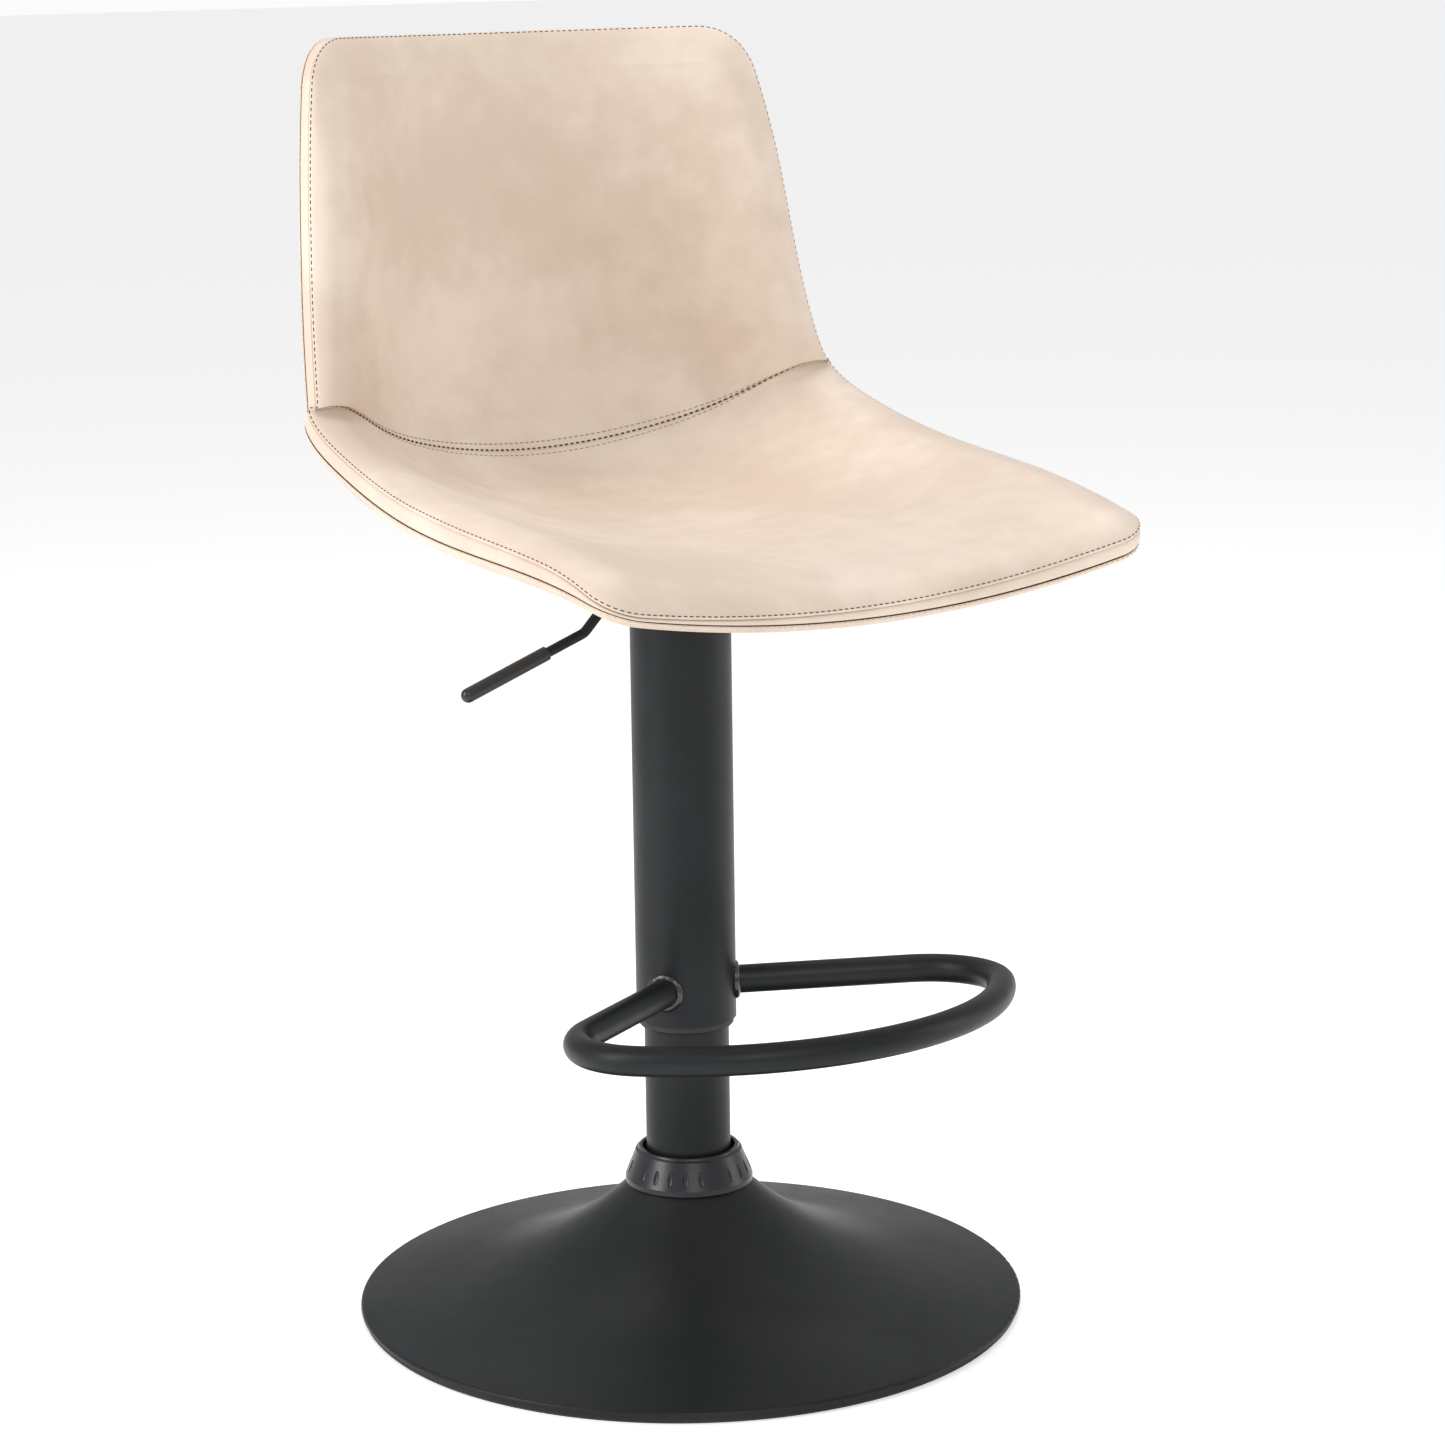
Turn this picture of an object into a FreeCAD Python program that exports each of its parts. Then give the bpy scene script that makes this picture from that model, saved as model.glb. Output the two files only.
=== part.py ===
import FreeCAD, Part
import math
import os
import re
import Sketcher

Vec = FreeCAD.Vector
UP = Vec(0, 0, 1)
doc = FreeCAD.newDocument("swivel_stool")

# Driving dimensions, in millimetres and degrees. The origin is on the floor under the column, Z is
# up, the sitter faces -Y and the sitter's right hand is on -X, where the lift lever is.
SIZES = {
    # spun base
    "base_radius": 200, "base_rim_height": 8, "base_rim_low": 4.5, "base_sheet": 2,
    "base_rim_round": 2.2, "flare_radius": 208, "flare_top_angle": 46, "flare_low_angle": 12.5,
    "neck_radius": 33.5, "neck_height": 79.5,
    "ballast_radius": 178, "ballast_low": 3.5, "ballast_thick": 5,
    "floor_ring_outer": 198.6, "floor_ring_inner": 186, "floor_ring_height": 4.5,
    "hub_radius": 31.9, "hub_low": 3.5, "hub_top": 78,
    # dimpled collar
    "collar_low_radius": 38.5, "collar_top_radius": 32, "collar_bore": 28, "collar_low": 77,
    "collar_top": 98, "collar_skirt": 3, "collar_wall": 2, "collar_lip": 3, "collar_round": 2,
    "dimple_count": 24, "dimple_group": 6, "dimple_width": 3.4, "dimple_length": 9,
    "dimple_height": 86.5, "dimple_depth": 1.1, "dimple_start": 8,
    # column
    "column_radius": 25.4, "column_wall": 1.5, "column_low": 4, "column_top": 400,
    "end_plate_low": 14, "end_plate_thick": 4, "end_plate_bore": 5.6,
    "guide_bush_length": 70, "guide_bush_flange": 2,
    # gas lift
    "rod_radius": 5, "rod_low": 7, "rod_top": 300, "clip_radius": 9, "clip_thick": 1.5,
    "clip_gap": 0.5, "race_radius": 13, "race_thick": 2, "ball_radius": 1.5, "ball_gap": 0.03,
    "ball_count": 12, "ball_circle": 9.5, "cage_inner": 7.6, "cage_outer": 11.4, "cage_thick": 1,
    "stop_radius": 11, "stop_top": 49.7, "piston_length": 16, "seal_width": 4, "seal_depth": 2,
    "seal_fit": 0.02, "cylinder_radius": 14, "cylinder_wall": 1.5, "cylinder_low": 50,
    "cylinder_top": 427, "cylinder_cap": 6, "taper_radius": 13.3, "end_guide_length": 14,
    "running_fit": 0.05,
    # telescopic tube and footrest
    "tube_radius": 30, "tube_wall": 1.5, "tube_low": 178.8, "tube_top": 425,
    "end_bush_lip": 4.6, "end_bush_radius": 28.4, "end_bush_length": 24,
    "foot_tube_radius": 8.5, "foot_tube_wall": 1.5, "foot_height": 199, "foot_tilt": 3.7,
    "foot_arm_angle": 58.7, "foot_corner_radius": 50, "foot_front_radius": 159,
    "foot_reach": 207, "weld_radius": 2.6,
    # seat mechanism
    "housing_length": 84, "housing_width": 64, "housing_wall": 2, "housing_low": 425,
    "plate_size": 130, "plate_thick": 3, "plate_low": 443, "plate_corner": 14,
    "plate_bore": 12, "screw_spacing": 110, "screw_hole": 3.3,
    "socket_radius": 20, "socket_low": 404,
    "screw_radius": 3, "head_radius": 5.5, "head_height": 3.5, "screw_length": 22,
    "washer_radius": 7, "washer_thick": 1,
    "nut_radius": 4.6, "nut_flange_radius": 9, "nut_length": 6, "nut_top": 464.4,
    "nut_rear_rise": 1.8, "nut_flange": 1.2,
    "nut_head_room": 8,
    "spacer_radius": 9, "spacer_length": 16,
    "lever_height": 437, "pivot_offset": 22, "pivot_radius": 2.5, "pivot_length": 56,
    "lever_radius": 3, "lever_inner": 6, "lever_knee": 50, "lever_elbow": 67,
    "lever_elbow_height": 420, "lever_tip": 148, "lever_tip_height": 392.3, "lever_bend": 9,
    "grip_radius": 4.3, "grip_length": 58, "boss_radius": 5, "boss_length": 12,
    "pin_radius": 3, "pin_low": 412, "pin_gap": 0.6,
    # upholstered bucket
    "pad_thick": 15, "core_thick": 8, "cover_thick": 2, "band_thick": 3, "band_gap": 1.6,
    "core_inset": 8, "cover_inset": 5, "layer_gap": 0.15,
    "pad_gap": 0.2, "skin_gap": 0.02, "front_corner": 24, "top_corner": 30,
}

# The bucket's centre line from the front edge to the top edge: how far back and how high its
# face is on the middle line, its half width, and how far its sides stand in front of that line.
STATIONS = {
    "front": (-211, 471, 186, 20),
    "thigh": (-150, 476, 192, 28),
    "fore": (-80, 478, 198, 33),
    "middle": (-10, 477, 197, 42),
    "rear": (70, 480, 192, 57),
    "waist": (150, 506, 185, 72),
    "lumbar": (172, 560, 179, 70),
    "shoulder": (178, 650, 170, 58),
    "upper": (182, 715, 161, 50),
    "top": (184, 760, 151, 41),
}
for place, (back, height, half_width, dish) in STATIONS.items():
    SIZES[place + "_back"] = back
    SIZES[place + "_height"] = height
    SIZES[place + "_half_width"] = half_width
    SIZES[place + "_dish"] = dish

sheet = doc.addObject("Spreadsheet::Sheet", "Sheet")
for row, (alias, value) in enumerate(SIZES.items(), start=1):
    sheet.set("A%d" % row, alias)
    sheet.set("B%d" % row, str(value))
    sheet.setAlias("B%d" % row, alias)
doc.recompute()


def size(alias):
    """A driving dimension as the sheet holds it."""
    return float(sheet.get(alias))


def bound(text):
    """Point the size names of an expression at the sheet's cells."""
    return re.sub(r"[a-z_]+", lambda word: "Sheet." + word[0] if word[0] in SIZES else word[0], text)


READER = doc.addObject("App::FeaturePython", "Reader")
READER.addProperty("App::PropertyFloat", "Result")


def number(text):
    """The present value of an expression written in size names."""
    READER.setExpression("Result", bound(text))
    READER.recompute()
    return READER.Result


PARTS = []


def keep(item, label):
    """Name a finished sub-part, which also names its file."""
    item.Label = label
    PARTS.append(item)
    return item


def origin_plane(body, role):
    return next(item for item in body.Origin.OriginFeatures if item.Role == role)


def attached_sketch(body, role, name):
    sketch = body.newObject("Sketcher::SketchObject", name)
    sketch.AttachmentSupport = (origin_plane(body, role), [""])
    sketch.MapMode = "FlatFace"
    return sketch


def fix(sketch, kind, text, *where):
    """Add one dimension to a sketch and bind it to the sheet."""
    index = sketch.addConstraint(Sketcher.Constraint(kind, *where, number(text)))
    sketch.setExpression("Constraints[%d]" % index, bound(text))


def outline(sketch, corners, arcs):
    """Draw a closed outline. arcs maps the number of an edge to its radius, negative if hollow."""
    points = [Vec(number(across), number(up), 0) for across, up in corners]
    ends = []
    for index, start in enumerate(points):
        end = points[(index + 1) % len(points)]
        if index in arcs:
            radius = number(arcs[index])
            chord = end - start
            side = Vec(-chord.y, chord.x, 0).normalize()
            rise = abs(radius) - math.sqrt(radius ** 2 - (chord.Length / 2) ** 2)
            middle = (start + end) / 2 - side * math.copysign(rise, radius)
            edge = sketch.addGeometry(Part.Arc(start, middle, end), False)
        else:
            edge = sketch.addGeometry(Part.LineSegment(start, end), False)
        forward = (sketch.getPoint(edge, 1) - start).Length < (sketch.getPoint(edge, 2) - start).Length
        ends.append((edge, 1, 2) if forward else (edge, 2, 1))
    for index, (edge, first, last) in enumerate(ends):
        following = ends[(index + 1) % len(ends)]
        sketch.addConstraint(Sketcher.Constraint("Coincident", edge, last, following[0], following[1]))
        across, up = corners[index]
        fix(sketch, "DistanceX", across, -1, 1, edge, first)
        fix(sketch, "DistanceY", up, -1, 1, edge, first)
        if index in arcs:
            radius = arcs[index].lstrip("-")
            fix(sketch, "Radius", radius, edge)


def turned(label, corners, arcs=None):
    """A piece turned about the column axis, from its half section in radius and height."""
    body = doc.addObject("PartDesign::Body", label + "_body")
    sketch = attached_sketch(body, "XZ_Plane", label + "_section")
    outline(sketch, corners, arcs or {})
    doc.recompute()
    turn = body.newObject("PartDesign::Revolution", label + "_turn")
    turn.Profile = sketch
    turn.ReferenceAxis = (sketch, ["V_Axis"])
    turn.Angle = 360
    body.Tip = turn
    doc.recompute()
    return keep(body, label)


def ring(label, inner, outer, low, high):
    """A plain turned ring or sleeve."""
    return turned(label, [(inner, low), (outer, low), (outer, high), (inner, high)])


def rod_between(name, start, end, radius):
    """A round bar between two points, its radius bound to the sheet."""
    bar = doc.addObject("Part::Cylinder", name)
    bar.setExpression("Radius", bound(radius))
    bar.Height = (end - start).Length
    bar.Placement = FreeCAD.Placement(start, FreeCAD.Rotation(UP, end - start))
    return bar


def cut(name, base, tool):
    item = doc.addObject("Part::Cut", name)
    item.Base = base
    item.Tool = tool
    return item


def join(name, shapes):
    item = doc.addObject("Part::MultiFuse", name)
    item.Shapes = shapes
    return item


def group(name, shapes):
    """Several separate solids kept as one sub-part."""
    item = doc.addObject("Part::Compound", name)
    item.Links = shapes
    return item


# ---------------------------------------------------------------- spun base
centre_across = "neck_radius + flare_radius * sin(flare_top_angle)"
centre_up = "neck_height + flare_radius * cos(flare_top_angle)"
flare_end_across = "%s - flare_radius * sin(flare_low_angle)" % centre_across
flare_end_up = "%s - flare_radius * cos(flare_low_angle)" % centre_up
inner_flare = "(flare_radius + base_sheet)"
rim_tangent = "base_rim_round * tan(45 - flare_low_angle / 2)"
rim_drop = "(base_radius - (%s)) * tan(flare_low_angle)" % flare_end_across
rim_corner = "%s - %s" % (flare_end_up, rim_drop)

base_shell = turned("base_shell", [
    ("neck_radius", "neck_height"),
    (flare_end_across, flare_end_up),
    ("base_radius - %s * cos(flare_low_angle)" % rim_tangent,
     "%s + %s * sin(flare_low_angle)" % (rim_corner, rim_tangent)),
    ("base_radius", "%s - %s" % (rim_corner, rim_tangent)),
    ("base_radius", "base_rim_low"),
    ("base_radius - base_sheet", "base_rim_low"),
    ("base_radius - base_sheet", "%s - base_sheet" % rim_corner),
    ("%s - %s * sin(flare_low_angle)" % (centre_across, inner_flare),
     "%s - %s * cos(flare_low_angle)" % (centre_up, inner_flare)),
    ("%s - %s * sin(flare_top_angle)" % (centre_across, inner_flare),
     "%s - %s * cos(flare_top_angle)" % (centre_up, inner_flare)),
], {0: "flare_radius", 2: "-base_rim_round", 7: "-(flare_radius + base_sheet)"})

ring("ballast_plate", "hub_radius", "ballast_radius", "ballast_low", "ballast_low + ballast_thick")
ring("hub_socket", "column_radius", "hub_radius", "hub_low", "hub_top")
turned("floor_ring", [
    ("floor_ring_inner", "0"),
    ("floor_ring_outer - 1.5", "0"),
    ("floor_ring_outer", "1.5"),
    ("floor_ring_outer", "floor_ring_height"),
    ("floor_ring_inner", "floor_ring_height"),
])

# ---------------------------------------------------------------- dimpled collar at the neck
collar_blank = turned("collar_blank", [
    ("collar_low_radius - collar_wall", "collar_low"),
    ("collar_low_radius", "collar_low"),
    ("collar_low_radius", "collar_low + collar_skirt"),
    ("collar_top_radius", "collar_top - collar_round"),
    ("collar_top_radius - collar_round", "collar_top"),
    ("collar_bore", "collar_top"),
    ("collar_bore", "collar_top - collar_lip"),
    ("collar_top_radius - collar_wall", "collar_top - collar_lip"),
    ("collar_low_radius - collar_wall", "collar_low + collar_skirt"),
], {3: "-collar_round * 1.3"})
PARTS.remove(collar_blank)
collar_slope = math.atan2(size("collar_low_radius") - size("collar_top_radius"),
                          size("collar_top") - size("collar_low") - size("collar_skirt"))
dimple_share = (size("dimple_height") - size("collar_low") - size("collar_skirt")) \
    / (size("collar_top") - size("collar_low") - size("collar_skirt") - size("collar_round"))
dimple_place = size("collar_low_radius") \
    - dimple_share * (size("collar_low_radius") - size("collar_top_radius"))
dimples = []
for index in range(int(size("dimple_count"))):
    if index % int(size("dimple_group")) == size("dimple_group") - 1:
        continue
    turn = 360 / size("dimple_count") * index + size("dimple_start")
    dimple = doc.addObject("Part::Ellipsoid", "dimple")
    dimple.setExpression("Radius1", bound("dimple_length / 2"))
    dimple.setExpression("Radius2", bound("dimple_depth"))
    dimple.setExpression("Radius3", bound("dimple_width / 2"))
    lean = FreeCAD.Rotation(Vec(0, 1, 0), -math.degrees(collar_slope))
    around = FreeCAD.Rotation(UP, turn)
    dimple.Placement = FreeCAD.Placement(
        around.multVec(Vec(dimple_place, 0, size("dimple_height"))), around.multiply(lean))
    dimples.append(dimple)
keep(cut("collar_cut", collar_blank, join("dimples", dimples)), "neck_collar")

# ---------------------------------------------------------------- column
ring("column_tube", "column_radius - column_wall", "column_radius", "column_low", "column_top")
ring("column_end_plate", "end_plate_bore", "column_radius - column_wall",
     "end_plate_low", "end_plate_low + end_plate_thick")
turned("column_guide_bush", [
    ("cylinder_radius + running_fit", "column_top - guide_bush_length"),
    ("column_radius - column_wall", "column_top - guide_bush_length"),
    ("column_radius - column_wall", "column_top"),
    ("column_radius", "column_top"),
    ("column_radius", "column_top + guide_bush_flange"),
    ("cylinder_radius + running_fit", "column_top + guide_bush_flange"),
])

# ---------------------------------------------------------------- thrust bearing and gas lift
bearing_low = "end_plate_low + end_plate_thick"
ball_height = "%s + race_thick + ball_radius" % bearing_low
upper_race_low = "%s + race_thick + 2 * ball_radius" % bearing_low
ring("bearing_lower_race", "end_plate_bore", "race_radius", bearing_low,
     "%s + race_thick" % bearing_low)
ring("bearing_upper_race", "rod_radius", "race_radius", upper_race_low,
     "%s + race_thick" % upper_race_low)
cage_blank = ring("cage_blank", "cage_inner", "cage_outer", "%s - cage_thick / 2" % ball_height,
                  "%s + cage_thick / 2" % ball_height)
PARTS.remove(cage_blank)
balls = []
pockets = []
for index in range(int(size("ball_count"))):
    turn = 2 * math.pi * index / size("ball_count")
    place = Vec(size("ball_circle") * math.cos(turn), size("ball_circle") * math.sin(turn),
                number(ball_height))
    ball = doc.addObject("Part::Sphere", "ball")
    ball.setExpression("Radius", bound("ball_radius - ball_gap"))
    ball.Placement = FreeCAD.Placement(place, FreeCAD.Rotation())
    balls.append(ball)
    pocket = rod_between("ball_pocket", place - UP * 2, place + UP * 2, "ball_radius")
    pockets.append(pocket)
keep(group("balls", balls), "bearing_balls")
keep(cut("cage_cut", cage_blank, join("ball_pockets", pockets)), "bearing_cage")

ring("retaining_clip", "rod_radius", "clip_radius", "end_plate_low - clip_gap - clip_thick",
     "end_plate_low - clip_gap")
turned("piston_rod", [
    ("0", "rod_low"), ("rod_radius", "rod_low"), ("rod_radius", "rod_top"), ("0", "rod_top")])
ring("bump_stop", "rod_radius", "stop_radius", "%s + race_thick" % upper_race_low, "stop_top")
piston_radius = "cylinder_radius - cylinder_wall - running_fit"
seal_low = "rod_top - piston_length / 2 - seal_width / 2"
turned("gas_piston", [
    ("rod_radius", "rod_top - piston_length"),
    (piston_radius, "rod_top - piston_length"),
    (piston_radius, seal_low),
    ("%s - seal_depth" % piston_radius, seal_low),
    ("%s - seal_depth" % piston_radius, "%s + seal_width" % seal_low),
    (piston_radius, "%s + seal_width" % seal_low),
    (piston_radius, "rod_top"),
    ("rod_radius", "rod_top"),
])
ring("piston_seal", "%s - seal_depth" % piston_radius,
     "cylinder_radius - cylinder_wall - seal_fit", seal_low, "%s + seal_width" % seal_low)

turned("gas_cylinder", [
    ("cylinder_radius - cylinder_wall", "cylinder_low"),
    ("cylinder_radius", "cylinder_low"),
    ("cylinder_radius", "socket_low"),
    ("taper_radius", "cylinder_top"),
    ("pin_radius + running_fit", "cylinder_top"),
    ("pin_radius + running_fit", "cylinder_top - cylinder_cap"),
    ("cylinder_radius - cylinder_wall", "cylinder_top - cylinder_cap"),
])
ring("cylinder_end_guide", "rod_radius + running_fit", "cylinder_radius - cylinder_wall",
     "cylinder_low", "cylinder_low + end_guide_length")
turned("valve_pin", [
    ("0", "pin_low"),
    ("pin_radius", "pin_low"),
    ("pin_radius", "lever_height - lever_radius - pin_gap"),
    ("0", "lever_height - lever_radius - pin_gap"),
])

# ---------------------------------------------------------------- telescopic tube with footrest
ring("outer_tube", "tube_radius - tube_wall", "tube_radius", "tube_low", "tube_top")
turned("tube_end_bush", [
    ("column_radius + running_fit", "tube_low - end_bush_lip"),
    ("end_bush_radius - 1", "tube_low - end_bush_lip"),
    ("end_bush_radius", "tube_low - end_bush_lip + 1"),
    ("end_bush_radius", "tube_low + end_bush_length"),
    ("column_radius + running_fit", "tube_low + end_bush_length"),
])


def footrest_path():
    """Two straight arms, two corner bends and one wide front bend, in the footrest's own plane."""
    arm = math.radians(size("foot_arm_angle"))
    corner = size("foot_corner_radius")
    front = size("foot_front_radius")
    along = Vec(math.sin(arm), math.cos(arm), 0)
    inward = Vec(-math.cos(arm), math.sin(arm), 0)
    front_centre = Vec(0, size("foot_reach") - front, 0)
    offset = inward * corner - front_centre
    half = along.dot(offset)
    arm_length = -half + math.sqrt(half ** 2 - offset.dot(offset) + (front - corner) ** 2)
    bend_start = along * arm_length
    bend_centre = bend_start + inward * corner
    outward = (bend_centre - front_centre).normalize()
    bend_end = front_centre + outward * front
    bend_middle = bend_centre + (outward - inward).normalize() * corner
    tilt = math.radians(size("foot_tilt"))

    def placed(point, mirror=1):
        lift = size("foot_height") + point.y * math.sin(tilt)
        return Vec(point.x * mirror, -point.y * math.cos(tilt), lift)

    edges = [
        Part.LineSegment(placed(Vec(0, 0, 0)), placed(bend_start)),
        Part.Arc(placed(bend_start), placed(bend_middle), placed(bend_end)),
        Part.Arc(placed(bend_end), placed(Vec(0, size("foot_reach"), 0)), placed(bend_end, -1)),
        Part.Arc(placed(bend_end, -1), placed(bend_middle, -1), placed(bend_start, -1)),
        Part.LineSegment(placed(bend_start, -1), placed(Vec(0, 0, 0))),
    ]
    return edges, placed(along) - placed(Vec(0, 0, 0)), placed(along, -1) - placed(Vec(0, 0, 0))


foot_edges, arm_left, arm_right = footrest_path()
foot_spine = doc.addObject("Part::Feature", "foot_spine")
foot_spine.Shape = Part.Wire([edge.toShape() for edge in foot_edges])
foot_start = Vec(0, 0, size("foot_height"))


def swept_foot(name, radius):
    """The footrest's bent bar of one radius."""
    section = doc.addObject("Part::Circle", name + "_section")
    section.setExpression("Radius", bound(radius))
    section.Placement = FreeCAD.Placement(foot_start, FreeCAD.Rotation(UP, arm_left))
    sweep = doc.addObject("Part::Sweep", name)
    sweep.Sections = [section]
    sweep.Spine = (foot_spine, [])
    sweep.Solid = True
    sweep.Frenet = False
    sweep.Transition = "Right corner"
    return sweep


def tube_core(name, radius):
    """A solid bar that fills the telescopic tube, for trimming what is welded to it."""
    core = doc.addObject("Part::Cylinder", name)
    core.setExpression("Radius", bound(radius))
    core.setExpression("Height", bound("tube_top - tube_low"))
    core.Placement = FreeCAD.Placement(Vec(0, 0, size("tube_low")), FreeCAD.Rotation())
    return core


foot_bore = join("foot_bore_and_column",
                 [swept_foot("foot_bore", "foot_tube_radius - foot_tube_wall"),
                  tube_core("foot_trim", "tube_radius")])
keep(cut("foot_cut", swept_foot("foot_solid", "foot_tube_radius"), foot_bore), "footrest_bar")

welds = []
for arm in (arm_left, arm_right):
    bead = doc.addObject("Part::Torus", "weld_bead")
    bead.setExpression("Radius1", bound("foot_tube_radius + weld_radius / 4"))
    bead.setExpression("Radius2", bound("weld_radius"))
    bead.Placement = FreeCAD.Placement(foot_start + arm * (size("tube_radius") - 0.4),
                                       FreeCAD.Rotation(UP, arm))
    bar = rod_between("weld_trim", foot_start, foot_start + arm * 2 * size("tube_radius"),
                      "foot_tube_radius")
    trim = join("weld_trims", [bar, tube_core("weld_tube_trim", "tube_radius")])
    welds.append(cut("weld", bead, trim))
keep(group("welds", welds), "footrest_welds")

# ---------------------------------------------------------------- seat mechanism
turned("taper_socket", [
    ("cylinder_radius", "socket_low"),
    ("socket_radius", "socket_low"),
    ("socket_radius", "cylinder_top"),
    ("taper_radius", "cylinder_top"),
])


def block(name, length, width, height, low):
    """A box centred on the column axis."""
    box = doc.addObject("Part::Box", name)
    box.setExpression("Length", bound(length))
    box.setExpression("Width", bound(width))
    box.setExpression("Height", bound(height))
    box.setExpression("Placement.Base.x", bound("-(%s) / 2" % length))
    box.setExpression("Placement.Base.y", bound("-(%s) / 2" % width))
    box.setExpression("Placement.Base.z", bound(low))
    return box


pivot_start = Vec(-size("pivot_offset"), -size("housing_width") / 2, size("lever_height"))
pivot_end = Vec(-size("pivot_offset"), size("housing_width") / 2, size("lever_height"))
housing_outer = block("housing_outer", "housing_length", "housing_width",
                      "plate_low - housing_low", "housing_low")
housing_room = block("housing_room", "housing_length", "housing_width - 2 * housing_wall",
                     "plate_low - housing_low", "housing_low + housing_wall")
socket_hole = doc.addObject("Part::Cylinder", "socket_hole")
socket_hole.setExpression("Radius", bound("socket_radius"))
socket_hole.setExpression("Height", bound("4 * housing_wall"))
socket_hole.setExpression("Placement.Base.z", bound("housing_low - housing_wall"))
pivot_hole = rod_between("pivot_hole", pivot_start, pivot_end, "pivot_radius")
keep(cut("housing_cut", housing_outer,
         join("housing_cuts", [housing_room, socket_hole, pivot_hole])), "lever_housing")
keep(rod_between("pivot_pin_bar", pivot_start, pivot_end, "pivot_radius"), "lever_pivot_pin")


def pressed_plate():
    """The bolted seat plate: a padded square with rounded corners and five round holes."""
    body = doc.addObject("PartDesign::Body", "seat_plate_body")
    square = attached_sketch(body, "XY_Plane", "seat_plate_outline")
    half = "plate_size / 2"
    outline(square, [("-" + half, "-" + half), (half, "-" + half), (half, half), ("-" + half, half)],
            {})
    square.setExpression("AttachmentOffset.Base.z", bound("plate_low"))
    doc.recompute()
    pad = body.newObject("PartDesign::Pad", "seat_plate_pad")
    pad.Profile = square
    pad.setExpression("Length", bound("plate_thick"))
    doc.recompute()
    upright = ["Edge%d" % index for index, edge in enumerate(pad.Shape.Edges, start=1)
               if abs(edge.Vertexes[0].Z - edge.Vertexes[-1].Z) > size("plate_thick") / 2]
    rounded = body.newObject("PartDesign::Fillet", "seat_plate_corners")
    rounded.Base = (pad, upright)
    rounded.setExpression("Radius", bound("plate_corner"))
    doc.recompute()
    holes = attached_sketch(body, "XY_Plane", "seat_plate_holes")
    spots = [("0", "0", "plate_bore")]
    spots += [("%s screw_spacing / 2" % across, "%s screw_spacing / 2" % along, "screw_hole")
              for across in ("1 *", "-1 *") for along in ("1 *", "-1 *")]
    for across, along, radius in spots:
        middle = Vec(number(across), number(along), 0)
        circle = holes.addGeometry(Part.Circle(middle, UP, number(radius)), False)
        fix(holes, "DistanceX", across, -1, 1, circle, 3)
        fix(holes, "DistanceY", along, -1, 1, circle, 3)
        fix(holes, "Radius", radius, circle)
    doc.recompute()
    drilled = body.newObject("PartDesign::Pocket", "seat_plate_drilled")
    drilled.Profile = holes
    drilled.Type = "ThroughAll"
    drilled.Midplane = True
    body.Tip = drilled
    doc.recompute()
    return keep(body, "seat_plate")


pressed_plate()

# ---------------------------------------------------------------- lift lever
lever_points = [
    Vec(size("lever_inner"), 0, size("lever_height")),
    Vec(-size("lever_knee"), 0, size("lever_height")),
    Vec(-size("lever_elbow"), 0, size("lever_elbow_height")),
    Vec(-size("lever_tip"), 0, size("lever_tip_height")),
]


def bent_wire(points, radius):
    """A wire of straight runs with a tangent bend at each inner corner."""
    edges = []
    here = points[0]
    for before, corner, after in zip(points, points[1:], points[2:]):
        back = (before - corner).normalize()
        ahead = (after - corner).normalize()
        half = back.getAngle(ahead) / 2
        reach = radius / math.tan(half)
        middle = corner + (back + ahead).normalize() * (radius / math.sin(half) - radius)
        edges.append(Part.LineSegment(here, corner + back * reach))
        edges.append(Part.Arc(corner + back * reach, middle, corner + ahead * reach))
        here = corner + ahead * reach
    edges.append(Part.LineSegment(here, points[-1]))
    return Part.Wire([edge.toShape() for edge in edges])


lever_spine = doc.addObject("Part::Feature", "lever_spine")
lever_spine.Shape = bent_wire(lever_points, size("lever_bend"))
lever_section = doc.addObject("Part::Circle", "lever_section")
lever_section.setExpression("Radius", bound("lever_radius"))
lever_section.Placement = FreeCAD.Placement(lever_points[0], FreeCAD.Rotation(UP, Vec(-1, 0, 0)))
lever_sweep = doc.addObject("Part::Sweep", "lever_sweep")
lever_sweep.Sections = [lever_section]
lever_sweep.Spine = (lever_spine, [])
lever_sweep.Solid = True
lever_sweep.Frenet = False
pivot_middle = Vec(-size("pivot_offset"), 0, size("lever_height"))
boss_half = Vec(0, size("boss_length") / 2, 0)
boss_hole = rod_between("boss_hole", pivot_middle - boss_half * 2, pivot_middle + boss_half * 2,
                        "pivot_radius + running_fit")
boss_blank = rod_between("boss_blank", pivot_middle - boss_half, pivot_middle + boss_half,
                         "boss_radius")
keep(cut("lever_cut", join("lever_joined", [lever_sweep, boss_blank]), boss_hole), "lever_rod")

grip_axis = (lever_points[2] - lever_points[3]).normalize()
grip_end = lever_points[3] - grip_axis * 2
grip_start = lever_points[3] + grip_axis * size("grip_length")
grip_bar = rod_between("grip_bar", grip_end + grip_axis * size("grip_radius"), grip_start,
                       "grip_radius")
grip_tip = doc.addObject("Part::Sphere", "grip_tip")
grip_tip.setExpression("Radius", bound("grip_radius"))
grip_tip.Placement = FreeCAD.Placement(grip_end + grip_axis * size("grip_radius"),
                                       FreeCAD.Rotation())
grip_bore = rod_between("grip_bore", lever_points[3], grip_start + grip_axis * 2, "lever_radius")
keep(cut("grip_cut", join("grip_joined", [grip_bar, grip_tip]), grip_bore), "lever_grip")

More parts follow.
